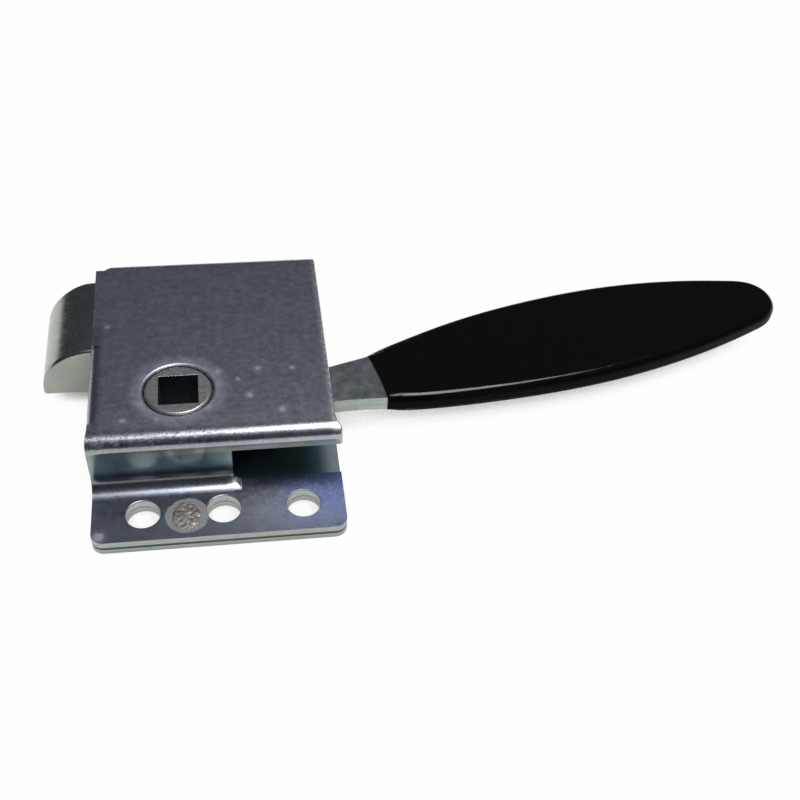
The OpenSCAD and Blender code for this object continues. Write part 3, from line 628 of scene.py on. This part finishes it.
def plug_weld():
    """A rough oval bead that fills the cover's hole and laps over its rim."""
    rings = [(0.25, 0.2), (0.5, 0.22), (0.75, 0.2), (0.9, 0.16), (1.0, 0.08), (1.04, -0.05), (1.0, -0.3)]
    half_wide = 3.75
    half_deep = 4.65
    rim_waver = 0.07
    lump = 0.16
    ripple = 0.07
    bm = bmesh.new()
    made = bmesh.ops.create_circle(bm, cap_ends=True, radius=rings[0][0] * MM, segments=72,
                                   matrix=Matrix.Translation(mm(0, 0, DECK + rings[0][1])))["verts"]
    edges = list({e for v in made for e in v.link_edges})
    for reach, height in rings[1:]:
        grown = bmesh.ops.extrude_edge_only(bm, edges=edges)["geom"]
        verts = [v for v in grown if isinstance(v, bmesh.types.BMVert)]
        edges = [e for e in grown if isinstance(e, bmesh.types.BMEdge)]
        for v in verts:
            v.co = v.co.xy.normalized().to_3d() * reach * MM + mm(0, 0, DECK + height)
    bmesh.ops.subdivide_edges(bm, edges=bm.edges, cuts=2, use_grid_fill=True)
    bmesh.ops.recalc_face_normals(bm, faces=bm.faces)
    if sum(f.normal.z for f in bm.faces) < 0:
        bmesh.ops.reverse_faces(bm, faces=bm.faces)
    for v in bm.verts:
        wave = 1 + rim_waver * noise.noise(v.co / MM * 2.2)
        v.co.x = (WELD[0] + v.co.x / MM * half_wide * wave) * MM
        v.co.y = (WELD[1] + v.co.y / MM * half_deep * wave) * MM
        if v.co.z > DECK * MM:
            v.co.z += lump * MM * noise.noise(v.co / MM * 0.9)
            v.co.z += ripple * MM * noise.noise(v.co / MM * 2.1)
    piece_from(bm, "plug_weld", [weld_metal], "case", "flange_weld")


def latch_bolt():
    piece = piece_from(merged_copy("latch_bolt"), "quarter_round_bolt", [bolt_metal], "bolt",
                       "latch_bolt")
    break_edges(piece, 0.3, angle=40)


def drive_hub():
    bore_reach = 8
    bm = merged_copy("hub")
    for face in bm.faces:
        place = face.calc_center_median() / MM
        in_bore = abs(face.normal.z) < 0.2 and hypot(place.x, place.y) < bore_reach
        # Faces in the square bore take the darkened steel, a painted shade
        face.material_index = 1 if in_bore else 0
    piece = piece_from(bm, "drive_hub", [hub_metal, bore_painted_shade], "lever", "hub")
    break_edges(piece, 0.2, angle=30)


def lever_turn():
    return Matrix.Rotation(radians(LEVER_ANGLE), 4, "Z")


def cut_across(bm, way, places):
    for cut in places:
        bmesh.ops.bisect_plane(bm, geom=bm.verts[:] + bm.edges[:] + bm.faces[:], dist=0.0001 * MM,
                               plane_co=way * cut * MM, plane_no=way)


def bow_lever(bm):
    """Sets the lever a little crooked, as it left the shear: both ends of the grip hang back."""
    neck_bow = 0.95
    neck_at = 64
    tip_bow = 1.25
    tip_from = 138
    tip_run = 61
    way = lever_turn() @ Vector((1, 0, 0))
    cut_across(bm, way, range(42, 199, 4))
    for v in bm.verts:
        along = v.co.dot(way) / MM
        past_neck = along - neck_at
        fade = 22 if past_neck > 0 else 11
        neck = neck_bow * exp(-(past_neck / fade) ** 2)
        tip = tip_bow * max(0.0, (along - tip_from) / tip_run) ** 2
        v.co.y -= (neck + tip) * MM


def lever_arm():
    bm = merged_copy("lever_blade")
    bow_lever(bm)
    for face in bm.faces:
        face.material_index = 1 if abs(face.normal.z) < 0.2 else 0
    piece = piece_from(bm, "lever_arm", [zinc_lever, cut_edge], "lever", "lever_blade")
    break_edges(piece, 0.35)


def join_tip(bm):
    """Swells the coat's round tip where it starts, so that the flanks run into it without a step."""
    turn = lever_turn()
    back = turn.inverted()
    place = {v: back @ v.co / MM for v in bm.verts}
    level = [v for v in bm.verts if abs(place[v].x - TIP_START) < 0.02]
    tip = [v for v in level if any(place[e.other_vert(v)].x > TIP_START + 0.1 for e in v.link_edges)]
    for v in tip + [v for v in bm.verts if place[v].x > TIP_START + 0.02]:
        run = max(0.0, place[v].x - TIP_START)
        swell = (TIP_STEP - TIP_SLOPE * run) * max(0.0, 1 - run / TIP_R) ** 2
        place[v].y += swell * max(-1.0, min(1.0, place[v].y / 5))
        v.co = turn @ (place[v] * MM)
    flank = [v for v in level if v not in tip]
    nearest = {v: min(tip, key=lambda t: (place[t] - place[v]).length) for v in flank}
    bmesh.ops.weld_verts(bm, targetmap=nearest)


def dipped_grip():
    """The coat, thinner over its first few millimetres, with a bowed line where the dip ended."""
    fade = 8.0
    thinned = 0.3
    dip_bow = 0.55
    half_width = 10.4
    hollow_half = 9
    bm = merged_copy("grip")
    join_tip(bm)
    turn = lever_turn()
    cut_across(bm, turn @ Vector((1, 0, 0)), (60.8, 62, 64, 66, 68))
    cut_across(bm, turn @ Vector((0, 1, 0)), (-7, -3.5, 0, 3.5, 7))
    back = turn.inverted()
    for v in bm.verts:
        flat = back @ v.co / MM
        start = max(0.0, 1 - (flat.x - DIP_LINE) / fade)
        rise = flat.z - BLADE_MID
        if abs(rise) > BLADE_HALF + 0.05 or abs(flat.y) > hollow_half:
            thin = thinned * start * start
            flat.z = BLADE_MID + rise * (1 - thin * COAT / (BLADE_HALF + COAT))
            flat.y *= 1 - thin * COAT / half_width
        flat.x += dip_bow * start * max(0.0, 1 - (flat.y / half_width) ** 2)
        v.co = turn @ (flat * MM)
    bow_lever(bm)
    # Faces that look down or sideways take the low-gloss copy, a painted shade
    for face in bm.faces:
        face.material_index = 1 if face.normal.z < 0.5 else 0
    piece = piece_from(bm, "dipped_grip", [black_vinyl, shaded_side_vinyl], "lever", "grip")
    break_edges(piece, 0.25, angle=40)


def coil(bm, wire, radius, centre, axis, across, parts):
    """Winds round wire in parts of (turns, pitch), from centre along axis."""
    steps_per_turn = 28
    tangent = axis.cross(across)
    spot = Matrix((across, axis, tangent)).transposed().to_4x4()
    spot.translation = centre + across * radius
    made = bmesh.ops.create_circle(bm, cap_ends=False, radius=wire / 2, segments=12, matrix=spot)
    geometry = made["verts"] + list({e for v in made["verts"] for e in v.link_edges})
    for turns, pitch in parts:
        steps = max(1, round(turns * steps_per_turn))
        wound = bmesh.ops.spin(bm, geom=geometry, cent=centre, axis=axis, dvec=axis * pitch * turns / steps,
                               angle=2 * pi * turns, steps=steps, use_duplicate=False)
        geometry = wound["geom_last"]
        centre = centre + axis * pitch * turns
    bmesh.ops.holes_fill(bm, edges=[e for e in bm.edges if e.is_boundary], sides=0)
    bmesh.ops.remove_doubles(bm, verts=bm.verts, dist=0.0005 * MM)
    bmesh.ops.recalc_face_normals(bm, faces=bm.faces)


def bolt_spring():
    low, high = [Vector(c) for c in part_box("bolt_spring")]
    middle = (low + high) / 2
    wire = 1.4 * MM
    open_turns = 11
    pitch = (high.x - low.x - 3 * wire) / open_turns
    bm = bmesh.new()
    coil(bm, wire, (high.z - low.z - wire) / 2, Vector((low.x + wire / 2, middle.y, middle.z)),
         Vector((1, 0, 0)), Vector((0, 0, -1)), [(1, wire), (open_turns, pitch), (1, wire)])
    piece = piece_from(bm, "bolt_return_spring", [wire_metal], "case", "bolt_spring")
    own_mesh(piece)


def lever_return_spring():
    """The torsion spring, on no body; on the latch its lower leg stays at the post and its upper leg goes
    with the lever.
    """
    piece = piece_from(merged_copy("lever_spring"), "lever_return_spring", [wire_metal], None,
                       "lever_spring")
    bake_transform(piece)


def carry_over():
    """Finishes for the solids that show as they are."""
    for node, material in {
        "bolt_tray": zinc_plate, "tray_rivets": pin_metal, "spring_rod": pin_metal, "spring_post": pin_metal,
        "stop_pin": pin_metal, "hub_washer": zinc_plate, "hub_spacer": pin_metal, "cam_plate": zinc_plate,
    }.items():
        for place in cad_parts[node].material_slots:
            place.material = material


# Floor, light and camera

def studio_floor():
    bm = bmesh.new()
    bmesh.ops.create_grid(bm, x_segments=1, y_segments=1, size=6.0,
                          matrix=Matrix.Translation(mm(0, 0, -0.05)))
    mesh = bpy.data.meshes.new("studio_floor")
    bm.to_mesh(mesh)
    bm.free()
    floor = bpy.data.objects.new("studio_floor", mesh)
    bpy.context.scene.collection.objects.link(floor)
    material, tree, shader = new_finish("white_floor")
    tree.nodes.remove(shader)
    paper = add(tree, "ShaderNodeBsdfDiffuse", Color=(0.9, 0.9, 0.9))
    # Deep, narrow places under the latch stay dark, and open floor is white
    openness = add(tree, "ShaderNodeAmbientOcclusion", {"samples": 8}, Distance=0.03).outputs["AO"]
    path = add(tree, "ShaderNodeLightPath")
    direct = path.outputs["Is Camera Ray"]
    mirrored = highest(tree, path.outputs["Is Glossy Ray"], path.outputs["Is Transmission Ray"])
    strength = highest(tree, times(tree, direct, spread(tree, openness, 0.08, 0.28)),
                       times(tree, mirrored, spread(tree, openness, 0.08, 0.8, 0.1, 1.0)))
    glow = add(tree, "ShaderNodeEmission", Color=(1.0, 1.0, 1.0), Strength=strength)
    seen = highest(tree, direct, mirrored)
    mixed = add(tree, "ShaderNodeMixShader")
    tree.links.new(times(tree, seen, 0.97), mixed.inputs[0])
    tree.links.new(paper.outputs[0], mixed.inputs[1])
    tree.links.new(glow.outputs[0], mixed.inputs[2])
    tree.links.new(mixed.outputs[0], tree.nodes["Material Output"].inputs["Surface"])
    mesh.materials.append(material)


def softbox(name, spot, aim, size, power):
    light = bpy.data.lights.new(name, "AREA")
    light.shape = "RECTANGLE"
    light.size, light.size_y = size
    light.energy = power
    box = bpy.data.objects.new(name, light)
    box.location = spot
    box.rotation_euler = (Vector(aim) - Vector(spot)).to_track_quat("-Z", "Y").to_euler()
    bpy.context.scene.collection.objects.link(box)


def studio_light():
    """A dim room that brightens towards its ceiling, and one wide softbox overhead."""
    world = bpy.data.worlds.new("studio_room")
    bpy.context.scene.world = world
    world.use_nodes = True
    tree = world.node_tree
    coords = add(tree, "ShaderNodeTexCoord")
    height = add(tree, "ShaderNodeSeparateXYZ", Vector=coords.outputs["Generated"]).outputs["Z"]
    colour = mix_colours(tree, spread(tree, height, 0.1, 0.75), (0.055, 0.058, 0.066), (0.085, 0.091, 0.11))
    seen = add(tree, "ShaderNodeLightPath").outputs["Is Camera Ray"]
    colour = mix_colours(tree, seen, colour, (1.0, 1.0, 1.0))
    tree.links.new(colour, tree.nodes["Background"].inputs["Color"])
    softbox("overhead_softbox", spot=(0.19, -0.09, 0.75), aim=(0.03, -0.01, 0.0), size=(0.44, 0.34),
            power=4.6)


def photo_camera():
    """Stands the camera where one perspective view fits the photo's edges and holes."""
    turn = radians(-11.18)
    rise = radians(45.839)
    roll = radians(-4.635)
    target = mm(62.16, -9.37, 24.0)
    distance = 334.8
    sensor = 36.0
    focal_pixels = 1177.085
    image_pixels = 800
    back = Vector((sin(turn) * cos(rise), -cos(turn) * cos(rise), sin(rise)))
    right = (-back).cross(Vector((0, 0, 1))).normalized()
    down = (-back).cross(right)
    image_right = cos(roll) * right + sin(roll) * down
    image_down = -sin(roll) * right + cos(roll) * down
    stand = Matrix((image_right, -image_down, back)).transposed().to_4x4()
    stand.translation = target + back * distance * MM
    lens = bpy.data.cameras.new("photo_camera")
    lens.sensor_width = sensor
    lens.lens = sensor * focal_pixels / image_pixels
    lens.clip_start = 0.01
    camera = bpy.data.objects.new("photo_camera", lens)
    camera.matrix_world = stand
    bpy.context.scene.collection.objects.link(camera)
    bpy.context.scene.camera = camera


case_cover()
mounting_plate()
plug_weld()
latch_bolt()
drive_hub()
lever_arm()
dipped_grip()
bolt_spring()
lever_return_spring()
carry_over()
studio_floor()
studio_light()
photo_camera()
bpy.context.scene.view_settings.view_transform = "Standard"
